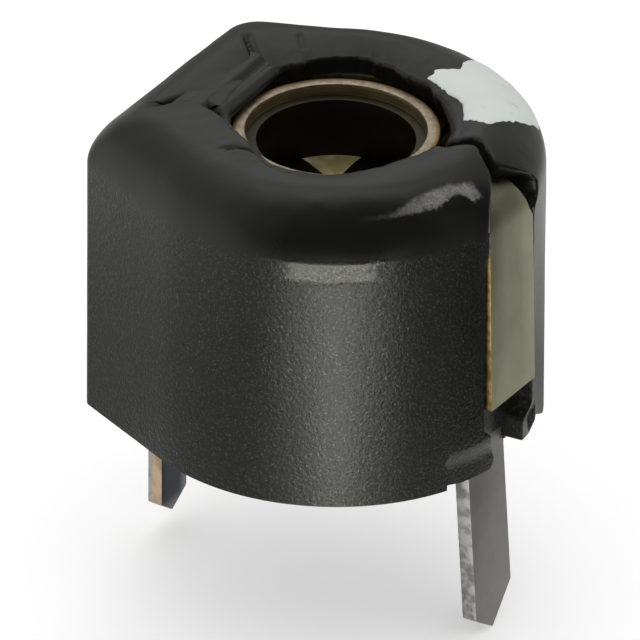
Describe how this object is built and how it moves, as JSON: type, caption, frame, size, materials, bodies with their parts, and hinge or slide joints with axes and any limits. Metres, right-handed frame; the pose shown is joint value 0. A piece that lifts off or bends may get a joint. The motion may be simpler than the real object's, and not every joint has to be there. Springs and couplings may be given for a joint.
{
  "type": "trimmer capacitor",
  "caption": "Film-dielectric trimmer capacitor for a printed board: black cup housing, screwdriver-set brass rotor, flat tinned leads at 5.08 mm pitch.",
  "frame": {"origin": "on the rotor's axis, in the plane of the housing's underside, which is where it seats on the board", "axes": "+Z along the rotor's axis, out of the board and through the screwdriver opening; +X from the axis to the grooved front with the rotor terminal; +Y completes a right-handed frame"},
  "size_m": [0.0058, 0.0058, 0.0074],
  "materials": {
    "black_plastic": "moulded, fine spark-eroded grain on the wall, smooth and glossier where the rim was folded hot",
    "white_paint": "brushed-on enamel, satin",
    "tinned_brass": "dull tin plate, bare brass on the cut edges",
    "turned_brass": "turned, tarnished",
    "plate_brass": "rolled, plain",
    "spring_bronze": "rolled, plain",
    "natural_plastic": "moulded, plain",
    "ptfe": "skived, plain",
    "dielectric_film": "clear film"
  },
  "bodies": {
    "case": {"housing": "black_plastic", "colour_dot": "white_paint", "front_terminal": "tinned_brass", "rear_terminal": "tinned_brass", "thrust_washer": "ptfe", "pressure_ring": "natural_plastic", "contact_spring": "spring_bronze", "stator_plate_1": "plate_brass", "stator_plate_2": "plate_brass", "stator_plate_3": "plate_brass", "stator_plate_4": "plate_brass", "stator_spacer_1": "plate_brass", "stator_spacer_2": "plate_brass", "stator_spacer_3": "plate_brass", "film_1": "dielectric_film", "film_2": "dielectric_film", "film_3": "dielectric_film", "film_4": "dielectric_film", "film_5": "dielectric_film", "film_6": "dielectric_film"},
    "rotor": {"rotor_spindle": "turned_brass", "rotor_plate_1": "plate_brass", "rotor_plate_2": "plate_brass", "rotor_plate_3": "plate_brass", "rotor_spacer_1": "plate_brass", "rotor_spacer_2": "plate_brass", "rotor_spacer_3": "plate_brass", "rotor_spacer_4": "plate_brass"}
  },
  "joints": [
    {"name": "rotor_turn", "type": "hinge", "parent": "case", "child": "rotor", "pos_m": [0, 0, 0], "axis": [0, 0, 1], "continuous": true}
  ]
}
